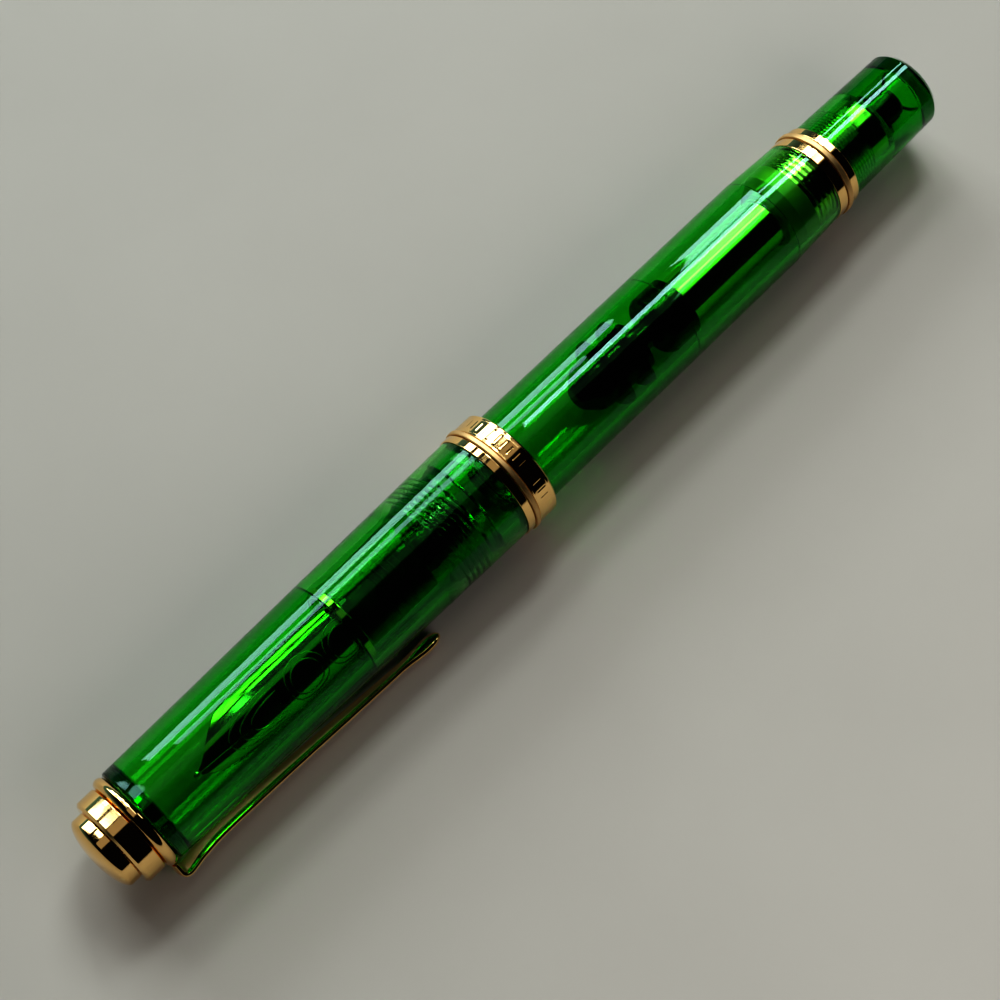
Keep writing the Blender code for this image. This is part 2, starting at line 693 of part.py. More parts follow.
def main():
    for old in list(bpy.data.objects):
        bpy.data.objects.remove(old, do_unlink=True)
    finish = make_materials()
    pen_axis = empty("pen_axis", (-PEN_LENGTH / 2, AXIS_Y, AXIS_HEIGHT))
    cap_slider = empty("cap_slider_axis", (0, 0, 0), pen_axis)
    cap_carrier = empty("cap_carrier_axis", (0, 0, 0), cap_slider)
    cap = empty("cap_axis", (0, 0, 0), cap_carrier)
    clip_offset = clip_direction() * CLIP_HINGE[1] + Vector((CLIP_HINGE[0], 0, 0))
    clip_hinge = empty("clip_hinge", clip_offset, cap)
    piston = empty("piston_axis", (0, 0, 0), pen_axis)
    knob_carrier = empty("knob_carrier_axis", (0, 0, 0), pen_axis)
    knob = empty("knob_axis", (0, 0, 0), knob_carrier)

    make_cap_shell(finish["resin"], cap)
    make_cap_bands(finish["gold"], finish["satin"], cap, cap_carrier)
    make_crown(finish["gold"], finish["brass"], cap, cap_slider)
    make_clip_ring(finish["gold"], cap)
    make_clip_arm(finish["gold"], clip_hinge)
    make_grip_section(finish["resin"], finish["gold"], pen_axis)
    make_nib(finish["nib"], finish["tipping"], pen_axis)
    make_feed(finish["black"], pen_axis)
    make_nib_collar(finish["black"], pen_axis)
    make_barrel(finish["resin"], finish["gold"], finish["satin"], pen_axis)
    make_sleeve(finish["brass"], pen_axis)
    make_rod_guide(finish["black"], pen_axis)
    make_piston(finish["black"], piston)
    make_knob(finish["resin"], finish["gold"], finish["black"], knob, knob_carrier)


main()
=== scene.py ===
"""The looks of a capped piston-filling fountain pen in clear green resin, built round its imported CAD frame.

Stations are millimetres along the pen's axis from the tip of the crown, and radii are millimetres from that
axis. Every piece is an object that stands at the tip of the crown, so object coordinates are stations too.
"""

import math

import bmesh
import bpy
import numpy as np
from mathutils import Matrix, Vector


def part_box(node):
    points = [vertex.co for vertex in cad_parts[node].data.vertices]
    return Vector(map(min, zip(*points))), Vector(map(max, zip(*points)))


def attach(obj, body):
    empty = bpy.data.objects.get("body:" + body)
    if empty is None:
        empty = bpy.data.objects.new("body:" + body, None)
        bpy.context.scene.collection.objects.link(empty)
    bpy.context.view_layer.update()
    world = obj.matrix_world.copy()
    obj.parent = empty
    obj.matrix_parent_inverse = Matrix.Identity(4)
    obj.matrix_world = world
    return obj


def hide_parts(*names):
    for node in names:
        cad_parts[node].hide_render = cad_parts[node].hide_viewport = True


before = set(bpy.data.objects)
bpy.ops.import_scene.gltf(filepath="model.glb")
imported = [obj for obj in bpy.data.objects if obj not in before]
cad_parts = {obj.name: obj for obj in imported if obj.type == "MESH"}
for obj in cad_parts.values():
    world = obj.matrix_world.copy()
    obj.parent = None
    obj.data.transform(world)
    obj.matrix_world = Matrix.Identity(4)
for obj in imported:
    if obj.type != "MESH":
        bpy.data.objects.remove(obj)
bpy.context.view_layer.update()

MM = 0.001
TAU = 2 * math.pi
SEGMENTS = 144  # round a large turned piece
CAD_SIDES = 24  # flat sides of the frame's large turned nodes, one of them facing down
SEAT_GAP = 0.06  # between two pieces that touch in the real pen
CORNER_SUPPORT = 0.03  # from a rounded corner to the point that keeps its neighbour flat
BUMP_DEPTH = 0.02 * MM

crown_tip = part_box("crown_disc")[0].x
barrel_low, barrel_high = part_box("barrel")
AXIS = Vector((crown_tip, (barrel_low.y + barrel_high.y) / 2, (barrel_low.z + barrel_high.z) / 2))


def span(node):
    """A node's first and last stations."""
    low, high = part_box(node)
    return (low.x - crown_tip) / MM, (high.x - crown_tip) / MM


def radius_of(node):
    """The largest radius of a turned node, from the flat that it rests on."""
    low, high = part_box(node)
    return (high.z - low.z) / 2 / MM / math.cos(math.pi / CAD_SIDES)


# Shape tools


def piece(name, mesh, surface, body, slot, *nodes, roll=0.0):
    """A shown object on the pen's axis, rolled about it, that rides on a body and stands for nodes."""
    made = bpy.data.objects.new(name, mesh)
    bpy.context.scene.collection.objects.link(made)
    mesh.materials.append(surface)
    made.matrix_world = Matrix.Translation(AXIS) @ Matrix.Rotation(roll, 4, "X")
    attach(made, body)
    if nodes:
        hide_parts(*nodes)
    return made


def finished(name, bm, sharp=35):
    """Welds a bmesh, turns its faces outwards and scales it from millimetres."""
    bmesh.ops.remove_doubles(bm, verts=bm.verts, dist=1e-4)
    bmesh.ops.delete(bm, geom=[edge for edge in bm.edges if not edge.link_faces], context="EDGES")
    bmesh.ops.recalc_face_normals(bm, faces=bm.faces)
    bmesh.ops.scale(bm, vec=(MM, MM, MM), verts=bm.verts)
    mesh = bpy.data.meshes.new(name)
    bm.to_mesh(mesh)
    bm.free()
    mesh.shade_smooth()
    mesh.set_sharp_from_angle(angle=math.radians(sharp))
    return mesh


def grid_bmesh(points, wrap_rows=False):
    """A bmesh of quads over an array of points, rows by columns by three. The columns close into a ring."""
    rows, columns = points.shape[:2]
    bm = bmesh.new()
    verts = [bm.verts.new(p) for p in points.reshape(-1, 3)]
    for i in range(rows if wrap_rows else rows - 1):
        for k in range(columns):
            a, b = i * columns + k, i * columns + (k + 1) % columns
            c, d = ((i + 1) % rows) * columns + (k + 1) % columns, ((i + 1) % rows) * columns + k
            bm.faces.new((verts[a], verts[b], verts[c], verts[d]))
    return bm


def rounded(outline, closed=True, steps=5):
    """An outline of (station, radius[, fillet]) with rounded corners, and a support point beside each."""
    corners = [Vector(p[:2]) for p in outline]
    count = len(outline)
    made = []
    for i, point in enumerate(outline):
        corner = corners[i]
        inside = closed or 0 < i < count - 1
        fillet = point[2] if len(point) > 2 and inside else 0.0
        if not fillet:
            made.append(tuple(corner))
            continue
        before, after = corners[i - 1] - corner, corners[(i + 1) % count] - corner
        half = before.angle(after) / 2
        reach = min(fillet / math.tan(half), 0.48 * before.length, 0.48 * after.length)
        a, b = before.normalized(), after.normalized()
        fillet = reach * math.tan(half)
        centre = corner + (a + b).normalized() * fillet / math.sin(half)
        first, last = corner + a * reach - centre, corner + b * reach - centre
        if before.length > reach + 3 * CORNER_SUPPORT:
            made.append(tuple(corner + a * (reach + CORNER_SUPPORT)))
        turn = first.angle_signed(last)
        for k in range(steps + 1):
            made.append(tuple(centre + Matrix.Rotation(-turn * k / steps, 2) @ first))
        if after.length > reach + 3 * CORNER_SUPPORT:
            made.append(tuple(corner + b * (reach + CORNER_SUPPORT)))
    return made


def rows_along(start, end, radius, step):
    """Points along a cylinder, close enough together to carry a relief."""
    count = max(2, round(abs(end - start) / step))
    return [(start + (end - start) * i / count, radius) for i in range(count + 1)]


def thread(start, end, root, depth, pitch, starts=1):
    """A relief that raises a right-handed thread on the rows of one cylinder.

    A negative depth cuts inwards. The ridge rises and fades over one pitch at each end.
    """

    def relief(stations, radii, angles):
        inside = (stations > min(start, end)) & (stations < max(start, end)) & (abs(radii - root) < 0.02)
        phase = (stations / pitch + starts * angles / TAU) % 1.0
        ridge = np.clip(3.0 * (1.0 - abs(2.0 * phase - 1.0)) - 1.75, 0.0, 1.0)
        ridge = ridge * ridge * (3 - 2 * ridge)
        ends = np.minimum(stations - min(start, end), max(start, end) - stations)
        return np.where(inside, depth * ridge * np.clip(ends / pitch, 0, 1), 0.0)

    return relief


def lathe(name, outline, reliefs=(), segments=SEGMENTS, closed=True, sharp=35):
    """A mesh of an outline of (station, radius) points turned about the axis."""
    points = np.array(outline, float)
    angles = np.arange(segments) * TAU / segments
    stations = np.repeat(points[:, :1], segments, 1)
    radii = np.repeat(points[:, 1:], segments, 1)
    around = np.repeat(angles[None, :], len(points), 0)
    grown = radii + sum(relief(stations, radii, around) for relief in reliefs)
    places = np.stack((stations, grown * np.sin(around), grown * np.cos(around)), 2)
    return finished(name, grid_bmesh(places, wrap_rows=closed), sharp)


def turned(name, outline, surface, body, slot, node, reliefs=(), roll=0.0, **shape):
    """A shown piece on the pen's axis, turned from an outline, that stands for one node."""
    return piece(name, lathe(name, outline, reliefs, **shape), surface, body, slot, node, roll=roll)


def swept(name, path, section, sharp=35):
    """A closed mesh of cross-sections along a path. section(i) gives a ring of (across, up) at point i."""
    rows = []
    for i, (place, across, up) in enumerate(path):
        rows.append([place + across * u + up * v for u, v in section(i)])
    points = np.array([[tuple(p) for p in row] for row in rows])
    bm = grid_bmesh(points)
    bm.verts.ensure_lookup_table()
    columns, last = points.shape[1], len(bm.verts) - points.shape[1]
    bm.faces.new(bm.verts[:columns])
    bm.faces.new(bm.verts[last:])
    return finished(name, bm, sharp)


# Surfaces


def add(tree, kind, inputs=None, **settings):
    """A shader node. An input is a value, or another node's socket to link."""
    made = tree.nodes.new("ShaderNode" + kind)
    for key, value in settings.items():
        setattr(made, key, value)
    for key, value in (inputs or {}).items():
        if isinstance(value, bpy.types.NodeSocket):
            tree.links.new(value, made.inputs[key])
        else:
            made.inputs[key].default_value = value
    return made


def surface(name):
    """A new material, its tree, its shader, and its object coordinates in millimetres."""
    made = bpy.data.materials.new(name)
    made.use_nodes = True
    tree = made.node_tree
    shader = tree.nodes["Principled BSDF"]
    coordinates = add(tree, "TexCoord").outputs["Object"]
    millimetres = add(tree, "VectorMath", {0: coordinates, "Scale": 1 / MM}, operation="SCALE").outputs[0]
    return made, tree, shader, millimetres


def stretched(tree, vector, scale):
    return add(tree, "Mapping", {"Vector": vector, "Scale": scale}).outputs[0]


def noise(tree, vector, scale, detail=3.0, roughness=0.55):
    inputs = {"Vector": vector, "Scale": scale, "Detail": detail, "Roughness": roughness}
    return add(tree, "TexNoise", inputs).outputs["Fac"]


def spread(tree, value, low, high, from_low=0.3, from_high=0.7):
    inputs = {"Value": value, "From Min": from_low, "From Max": from_high, "To Min": low, "To Max": high}
    return add(tree, "MapRange", inputs).outputs[0]


def blend_colours(tree, factor, a, b):
    made = add(tree, "Mix", data_type="RGBA")
    for index, value in ((0, factor), (6, a), (7, b)):
        if isinstance(value, bpy.types.NodeSocket):
            tree.links.new(value, made.inputs[index])
        else:
            made.inputs[index].default_value = value if index == 0 else (*value, 1.0)
    return made.outputs[2]


def bumped(tree, shader, height, strength):
    made = add(tree, "Bump", {"Height": height, "Strength": strength, "Distance": BUMP_DEPTH})
    tree.links.new(made.outputs[0], shader.inputs["Normal"])


def arithmetic(tree, operation, a, b=0.0):
    return add(tree, "Math", {0: a, 1: b}, operation=operation).outputs[0]


def resin_surface(name, absorbed, density):
    """Clear cast resin: nearly all of its colour is absorption, with faint scratches on its polish."""
    made, tree, shader, mm = surface(name)
    shader.inputs["Transmission Weight"].default_value = 1.0
    shader.inputs["IOR"].default_value = 1.5
    shader.inputs["Specular Tint"].default_value = (0.62, 0.97, 1.0, 1.0)
    hazy = noise(tree, mm, 0.4, 5.0)
    scratch = noise(tree, stretched(tree, mm, (9.0, 0.7, 0.7)), 1.6, 6.0, 0.7)
    tint = blend_colours(tree, spread(tree, hazy, 0.0, 1.0), (1.0, 1.0, 1.0), (0.965, 0.995, 0.975))
    tree.links.new(tint, shader.inputs["Base Color"])
    tree.links.new(spread(tree, hazy, 0.002, 0.02, 0.35, 0.75), shader.inputs["Roughness"])
    bumped(tree, shader, scratch, 0.003)
    volume = add(tree, "VolumeAbsorption", {"Color": (*absorbed, 1.0), "Density": density})
    tree.links.new(volume.outputs[0], tree.nodes["Material Output"].inputs["Volume"])
    return made


def metal_surface(name, colour, shade, rough, turned=(14.0, 0.6), brush=0.03, satin=0.0, matte=None):
    """Plated or bare metal, with a slow change of tone, faint marks of turning, and sharp edges that are
    rougher and carry a painted highlight of paler colour.

    matte is a (start, end, roughness) between two stations that were left as they were cut.
    """
    made, tree, shader, mm = surface(name)
    shader.inputs["Metallic"].default_value = 1.0
    cloudy = noise(tree, mm, 0.5, 5.0)
    marks = noise(tree, stretched(tree, mm, (turned[0], turned[1], turned[1])), 1.0, 5.0, 0.7)
    tone = blend_colours(tree, spread(tree, cloudy, 0.0, 1.0), colour, shade)
    # Sharp convex edges get a painted highlight: their colour is blended towards a paler one. They are also
    # made rougher.
    edge = add(tree, "NewGeometry").outputs["Pointiness"]
    edge_highlight_and_dulling = spread(tree, edge, 0.0, 1.0, 0.52, 0.60)
    painted_edge_highlight = tuple(min(1.0, c * 1.08 + 0.03) for c in colour)
    tree.links.new(blend_colours(tree, edge_highlight_and_dulling, tone, painted_edge_highlight), shader.inputs["Base Color"])
    edge_dulling = arithmetic(tree, "MULTIPLY", edge_highlight_and_dulling, 0.05)
    dull = arithmetic(tree, "ADD", spread(tree, marks, *rough), edge_dulling)
    if matte:
        along = add(tree, "SeparateXYZ", {0: mm}).outputs["X"]
        behind = spread(tree, along, 0.0, matte[2], matte[0] - 0.1, matte[0])
        ahead = spread(tree, along, 1.0, 0.0, matte[1], matte[1] + 0.1)
        dull = arithmetic(tree, "MAXIMUM", dull, arithmetic(tree, "MULTIPLY", behind, ahead))
    tree.links.new(dull, shader.inputs["Roughness"])
    height = marks
    if satin:
        grain = noise(tree, stretched(tree, mm, (30.0, 2.0, 2.0)), 1.0, 6.0, 0.75)
        height = arithmetic(tree, "ADD", marks, arithmetic(tree, "MULTIPLY", grain, satin))
    bumped(tree, shader, height, brush)
    return made


def plastic_surface(name, colour, lighter, rough):
    """Black moulded plastic with a slightly uneven gloss and fine mould texture."""
    made, tree, shader, mm = surface(name)
    shader.inputs["IOR"].default_value = 1.49
    cloudy = noise(tree, mm, 0.7, 5.0)
    fine = noise(tree, mm, 9.0, 4.0, 0.6)
    tone = blend_colours(tree, spread(tree, cloudy, 0.0, 1.0), colour, lighter)
    tree.links.new(tone, shader.inputs["Base Color"])
    tree.links.new(spread(tree, cloudy, *rough), shader.inputs["Roughness"])
    bumped(tree, shader, fine, 0.015)
    return made


COLLAR_MATTE = (113.6, 117.9, 0.6)  # the unpolished front of the brass sleeve's collar
RESIN = resin_surface("clear_green_resin", (0.09, 0.86, 0.0), 1150.0)
GOLD = metal_surface("polished_gold_plate", (0.97, 0.69, 0.33), (0.92, 0.64, 0.30), (0.05, 0.10))
SATIN = metal_surface(
    "satin_gold_plate", (0.82, 0.57, 0.29), (0.76, 0.52, 0.26), (0.42, 0.54), satin=1.0, brush=0.2
)
BRASS = metal_surface(
    "turned_brass",
    (0.78, 0.70, 0.30),
    (0.72, 0.64, 0.26),
    (0.07, 0.14),
    turned=(18.0, 0.3),
    brush=0.05,
    matte=COLLAR_MATTE,
)
BLACK = plastic_surface("black_plastic", (0.003, 0.003, 0.0035), (0.006, 0.006, 0.0065), (0.07, 0.13))
COLLAR_BLACK = plastic_surface("matte_black_plastic", (0.06, 0.06, 0.06), (0.08, 0.08, 0.08), (0.30, 0.42))
NIB_RELIEF = metal_surface("nib_relief_gold", (0.92, 0.84, 0.66), (0.86, 0.78, 0.6), (0.42, 0.55))
TIPPING = metal_surface("ground_tipping", (0.72, 0.72, 0.73), (0.62, 0.62, 0.64), (0.12, 0.2))


PALE_FRONT = 15.9  # where the pale plating of the nib starts


def nib_surface(name):
    """Gold with a pale plated middle that widens from the point to the shoulders."""
    made, tree, shader, mm = surface(name)
    shader.inputs["Metallic"].default_value = 1.0
    parts = add(tree, "SeparateXYZ", {0: mm})
    along, across = parts.outputs["X"], parts.outputs["Y"]
    half = spread(tree, along, 0.5, 3.0, 15.6, 23.0)
    inside = arithmetic(tree, "LESS_THAN", arithmetic(tree, "ABSOLUTE", across), half)
    behind = arithmetic(tree, "GREATER_THAN", along, PALE_FRONT)
    pale = arithmetic(tree, "MULTIPLY", inside, behind)
    cloudy = noise(tree, mm, 0.6, 4.0)
    yellow = blend_colours(tree, spread(tree, cloudy, 0, 1), (0.95, 0.73, 0.38), (0.88, 0.66, 0.34))
    silver = blend_colours(tree, spread(tree, cloudy, 0, 1), (0.80, 0.80, 0.81), (0.70, 0.70, 0.72))
    tree.links.new(blend_colours(tree, pale, yellow, silver), shader.inputs["Base Color"])
    marks = noise(tree, stretched(tree, mm, (0.8, 12.0, 12.0)), 1.0, 5.0, 0.7)
    tree.links.new(spread(tree, marks, 0.07, 0.14), shader.inputs["Roughness"])
    bumped(tree, shader, marks, 0.03)
    return made


NIB_METAL = nib_surface("two_tone_nib_gold")


# The cap

CAP_FLOOR, CAP_STEP = 8.6, 38.1  # inner face of the cap's closed end, and the ledge in its bore
CAP_BORE, GRIP_BORE, LIP_BORE = 5.25, 5.85, 6.75  # radii of the cap's bore: nib, grip and lip
CAP_THREAD = (52.4, 57.4)
LIP_STEP = (58.1, 58.4)  # the slope from the thread's root to the lip's bore
CAP_THREAD_ROOT, GRIP_THREAD_ROOT = 6.62, 5.9
THREAD_PITCH, THREAD_STARTS = 0.8, 4
CAP_THREAD_DEPTH, GRIP_THREAD_DEPTH = 0.1, 0.17
CAP_CROWN_RADIUS, CAP_BAND_RADIUS = 6.5, 7.35
RING_TRIM = 0.22  # taken off each side of a satin ring, and added to the polished rings beside it
BAND_SEAT = 6.98
STUD_HOLE = 2.06
THREAD_STEP = 0.066  # between the rows of a modelled thread


def make_cap():
    start, end = span("cap_shell")
    shoulder = span("cap_band_narrow")[0] - SEAT_GAP
    before_thread = [
        (start, STUD_HOLE),
        (start, CAP_CROWN_RADIUS, 0.3),
        (shoulder, CAP_BAND_RADIUS, 0.06),
        (shoulder, BAND_SEAT),
        (end, BAND_SEAT, 0.05),
        (end, LIP_BORE, 0.05),
        (LIP_STEP[1], LIP_BORE),
        (LIP_STEP[0], CAP_THREAD_ROOT),
    ]
    bore = rows_along(CAP_THREAD[1], CAP_THREAD[0], CAP_THREAD_ROOT, THREAD_STEP)
    after_thread = [
        (CAP_THREAD[0] - 2.2, GRIP_BORE, 0.1),
        (CAP_STEP, GRIP_BORE, 0.05),
        (CAP_STEP, CAP_BORE, 0.1),
        (CAP_FLOOR, CAP_BORE, 0.45),
        (CAP_FLOOR, STUD_HOLE),
    ]
    outline = rounded(before_thread + bore + after_thread)
    cut = thread(*CAP_THREAD, CAP_THREAD_ROOT, -CAP_THREAD_DEPTH, THREAD_PITCH, THREAD_STARTS)
    turned("cap_resin", outline, RESIN, "cap", "green_resin", "cap_shell", [cut])


def plain_ring(node, inner, fillet, grow=(0.0, 0.0)):
    """The outline of a ring with a node's radius, and with its two stations moved by grow."""
    start, end = span(node)
    start, end = start + grow[0], end + grow[1]
    outer = radius_of(node)
    return rounded([(start, inner), (start, outer, fillet), (end, outer, fillet), (end, inner)])


BAND_STROKES = 46  # short strokes engraved round the wide band
STROKE_HALF_WIDTH, STROKE_DEPTH = 0.09, 0.03
STROKE_SHARE, GROOVE_SHARE = 0.56, 0.86  # of half the band: a stroke's reach, and a groove's place


def band_engraving(start, end, outer):
    """A relief of short strokes between two fine grooves."""

    def relief(stations, radii, angles):
        on_band = abs(radii - outer) < 1e-3
        middle, half = (start + end) / 2, (end - start) / 2
        up = stations - middle
        pitch = TAU * outer / BAND_STROKES
        across = (angles * outer + pitch / 2) % pitch - pitch / 2
        stroke = np.clip(1.5 - abs(across) / STROKE_HALF_WIDTH, 0, 1)
        stroke = stroke * np.clip((half * STROKE_SHARE - abs(up)) / 0.12, 0, 1)
        groove = np.clip(1.6 - abs(abs(up) - half * GROOVE_SHARE) / 0.05, 0, 1)
        cut = np.maximum(stroke, groove)
        return np.where(on_band, -STROKE_DEPTH * cut * cut * (3 - 2 * cut), 0.0)

    return relief


def make_bands():
    seat = BAND_SEAT + SEAT_GAP
    ring = plain_ring("cap_band_narrow", seat, 0.12, (0.0, RING_TRIM))
    turned("band_narrow_gold", ring, GOLD, "cap_lifter", "polished_gold", "cap_band_narrow")
    ring = plain_ring("cap_band_raised", seat, 0.15, (RING_TRIM, -RING_TRIM))
    turned("band_raised_satin", ring, SATIN, "cap", "satin_gold", "cap_band_raised")
    start, end = span("cap_band_wide")
    start -= RING_TRIM
    outer = radius_of("cap_band_wide")
    lip = span("cap_shell")[1] + SEAT_GAP
    field = (start + 0.12, end - 0.3)
    outline = rounded(
        [
            (start, seat),
            (start, outer - 0.08),
            (start + 0.08, outer),
            *rows_along(*field, outer, 0.06),
            (end - 0.22, outer, 0.03),
            (end, outer - 0.2, 0.06),
            (end, LIP_BORE, 0.05),
            (lip, LIP_BORE),
            (lip, seat),
        ]
    )
    engraving = band_engraving(*field, outer)
    sides = 16 * BAND_STROKES
    turned(
        "band_wide_gold",
        outline,
        GOLD,
        "cap",
        "polished_gold",
        "cap_band_wide",
        [engraving],
        segments=sides,
        sharp=50,
    )


CROWN_POCKET, POCKET_FLOOR = 3.2, 1.95  # radius of the crown's hollow, and where it ends inside the disc
DOME_DEPTH, DOME_STEPS = 1.45, 24
BEAD = 0.75  # how far the clip's ring rounds over


def make_crown():
    disc_back = span("crown_disc")[1]
    radius = radius_of("crown_disc")
    dome = []
    for i in range(DOME_STEPS + 1):
        a = math.pi / 2 * i / DOME_STEPS
        dome.append((DOME_DEPTH * (1 - math.cos(a)), radius * math.sin(a)))
    wall = [
        (disc_back, radius, 0.1),
        (disc_back, CROWN_POCKET),
        (POCKET_FLOOR, CROWN_POCKET),
        (POCKET_FLOOR, 0),
    ]
    outline = dome[:-1] + rounded([dome[-2], dome[-1], *wall], closed=False)[1:]
    turned("crown_disc_gold", outline, GOLD, "cap", "polished_gold", "crown_disc", closed=False)
    front, back = span("crown_drum")
    radius = radius_of("crown_drum")
    drum = [
        (front, CROWN_POCKET),
        (front, radius - 0.35, 0.08),
        (front + 0.32, radius, 0.08),
        (back - 0.2, radius, 0.08),
        (back, radius - 0.3, 0.05),
        (back, CROWN_POCKET),
    ]
    turned("crown_drum_gold", rounded(drum), GOLD, "cap", "polished_gold", "crown_drum")
    front, back = span("clip_ring")
    radius = radius_of("clip_ring")
    middle, half = (front + back) / 2, (back - front) / 2
    bead = [(front, STUD_HOLE), (front, radius - BEAD)]
    for i in range(1, 16):
        a = math.pi * i / 16
        bead.append((middle - half * math.cos(a), radius - BEAD + BEAD * math.sin(a)))
    bead += [(back, radius - BEAD), (back, STUD_HOLE)]
    turned("clip_ring_gold", bead, GOLD, "cap", "polished_gold", "clip_ring")


# The clip: a convex strip that springs from between the drum and the ring, turns back and ends in a drop

CLIP_PATH = (  # station, radius, half width and half thickness of the arm
    (6.35, 6.75, 1.8, 0.30),
    (6.35, 7.6, 1.8, 0.32),
    (6.38, 8.25, 1.8, 0.34),
    (6.62, 8.68, 1.8, 0.35),
    (7.2, 8.85, 1.8, 0.35),
    (8.2, 8.72, 1.78, 0.35),
    (9.5, 8.5, 1.75, 0.35),
    (12.6, 8.3, 1.65, 0.35),
    (19.0, 8.45, 1.55, 0.35),
    (26.0, 8.75, 1.4, 0.35),
    (34.0, 9.2, 1.15, 0.35),
    (40.0, 9.5, 0.92, 0.35),
    (41.6, 9.58, 0.86, 0.36),
    (42.8, 9.64, 1.0, 0.46),
    (44.0, 9.68, 1.26, 0.64),
    (45.2, 9.7, 1.4, 0.74),
    (46.2, 9.7, 1.32, 0.70),
    (46.9, 9.7, 1.05, 0.55),
    (47.36, 9.7, 0.68, 0.35),
    (47.56, 9.7, 0.28, 0.14),
)
CLIP_SECTION = 28  # points round the arm
CLIP_ROLL = math.radians(90 + 42.733)  # from straight up, towards -Y and down to the floor
DROP_FRONT, DROP_LENGTH = 42.0, 2.5  # where the flat arm turns into the oval drop


def smooth_path(points, parts):
    """A Catmull-Rom curve through points of any dimension, with parts steps between neighbours."""
    points = np.array(points, float)
    padded = np.vstack((2 * points[0] - points[1], points, 2 * points[-1] - points[-2]))
    made = []
    for i in range(len(points) - 1):
        p0, p1, p2, p3 = padded[i : i + 4]
        for k in range(parts):
            t = k / parts
            line = 2 * p1 + (p2 - p0) * t + (2 * p0 - 5 * p1 + 4 * p2 - p3) * t**2
            made.append(0.5 * (line + (3 * p1 - p0 - 3 * p2 + p3) * t**3))
    made.append(points[-1])
    return np.array(made)


def make_clip():
    points = smooth_path(CLIP_PATH, 6)
    tangents = np.gradient(points[:, :2], axis=0)
    path = []
    for (x, r, _, _), (dx, dr) in zip(points, tangents):
        along = Vector((dx, 0, dr)).normalized()
        path.append((Vector((x, 0, r)), Vector((0, 1, 0)), Vector((-along.z, 0, along.x))))

    def section(i):
        x, _, half_width, half_thick = points[i]
        drop = min(1.0, max(0.0, (x - DROP_FRONT) / DROP_LENGTH))
        power = 0.5 + 0.5 * drop
        ring = []
        for k in range(CLIP_SECTION):
            a = TAU * k / CLIP_SECTION
            u = math.copysign(abs(math.cos(a)) ** power, math.cos(a))
            v = math.copysign(abs(math.sin(a)) ** power, math.sin(a))
            crown = 0.16 * (1 - u * u) * (1 - drop)
            ring.append((half_width * u, half_thick * v + (crown if v > 0 else 0.0) - 0.08 * (1 - drop)))
        return ring

    mesh = swept("clip_arm_gold", path, section, sharp=60)
    mesh.transform(Matrix.Rotation(CLIP_ROLL, 4, "X"))
    piece("clip_arm_gold", mesh, GOLD, "clip", "polished_gold", "clip_arm")


# The grip section, nib and feed

NIB_ROLL = math.radians(40)  # from straight up, towards -Y
NIB_POINT, NIB_SHOULDER, NIB_FALL, NIB_REAR = 15.1, 23.0, 27.0, 46.0
NIB_RADIUS, NIB_TIP_RADIUS, NIB_THICKNESS = 3.9, 2.7, 0.35
BREATHER, BREATHER_RADIUS, HALF_SLIT = 27.5, 0.65, 0.06


def nib_top(station):
    """Radius of the nib's upper face: level over the feed, then falling towards the point."""
    share = np.clip((NIB_FALL - np.asarray(station, float)) / (NIB_FALL - NIB_POINT), 0, 1)
    return NIB_RADIUS - (NIB_RADIUS - NIB_TIP_RADIUS) * share**1.6


def nib_half_width(station):
    """Half of the nib's width, measured round its curve: tines that flare into round shoulders."""
    point, widest, rear = 0.38, 5.6, 4.3
    if station < NIB_SHOULDER:
        share = (station - NIB_POINT) / (NIB_SHOULDER - NIB_POINT)
        return point + (widest - point) * (0.55 * share**1.1 + 0.45 * math.sin(share * math.pi / 2) ** 1.3)
    back = station - NIB_SHOULDER
    return widest - (widest - rear) * min(1.0, back / 15.0) + 0.1 * math.sin(min(1.0, back / 2.0) * math.pi)


def on_nib(station, across):
    """A point on the nib's upper face, across measured round its curve."""
    top = float(nib_top(station))
    a = across / top
    return Vector((station, -top * math.sin(a), top * math.cos(a)))


def make_nib():
    stations = list(np.linspace(NIB_POINT, 25.0, 58)) + list(np.linspace(25.15, 26.6, 8))
    circle = [BREATHER - BREATHER_RADIUS * math.cos(math.pi * i / 14) for i in range(15)]
    stations += circle + list(np.linspace(28.6, NIB_REAR, 22))
    columns = 28
    bm = bmesh.new()
    for sign in (1, -1):
        rows = []
        for x in stations:
            hole = math.sqrt(max(0.0, BREATHER_RADIUS**2 - (x - BREATHER) ** 2))
            inner = max(HALF_SLIT if x <= BREATHER else 0.0, hole)
            outer = nib_half_width(x)
            row = [inner + (outer - inner) * k / columns for k in range(columns + 1)]
            rows.append([bm.verts.new(on_nib(x, sign * across)) for across in row])
        for here, there in zip(rows, rows[1:]):
            for k in range(columns):
                loop = (here[k], here[k + 1], there[k + 1], there[k])
                bm.faces.new(loop if sign < 0 else loop[::-1])
    bmesh.ops.remove_doubles(bm, verts=bm.verts, dist=1e-4)
    bmesh.ops.scale(bm, vec=(MM, MM, MM), verts=bm.verts)
    mesh = bpy.data.meshes.new("nib_plate")
    bm.to_mesh(mesh)
    bm.free()
    outward = sum(p.normal.y * p.center.y + p.normal.z * p.center.z for p in mesh.polygons)
    if outward < 0:
        mesh.flip_normals()
    mesh.shade_smooth()
    nib = piece("nib_plate", mesh, NIB_METAL, "barrel", "nib_gold", "nib", roll=NIB_ROLL)
    thick = nib.modifiers.new("thickness", "SOLIDIFY")
    thick.thickness, thick.offset = NIB_THICKNESS * MM, -1.0
    thick.use_even_offset = True
    bevel = nib.modifiers.new("broken_edges", "BEVEL")
    bevel.width, bevel.segments, bevel.limit_method = 0.05 * MM, 2, "ANGLE"
    bevel.angle_limit = math.radians(50)
    for side, sign in (("left", 1), ("right", -1)):
        make_tipping(side, sign)
    make_engraving()


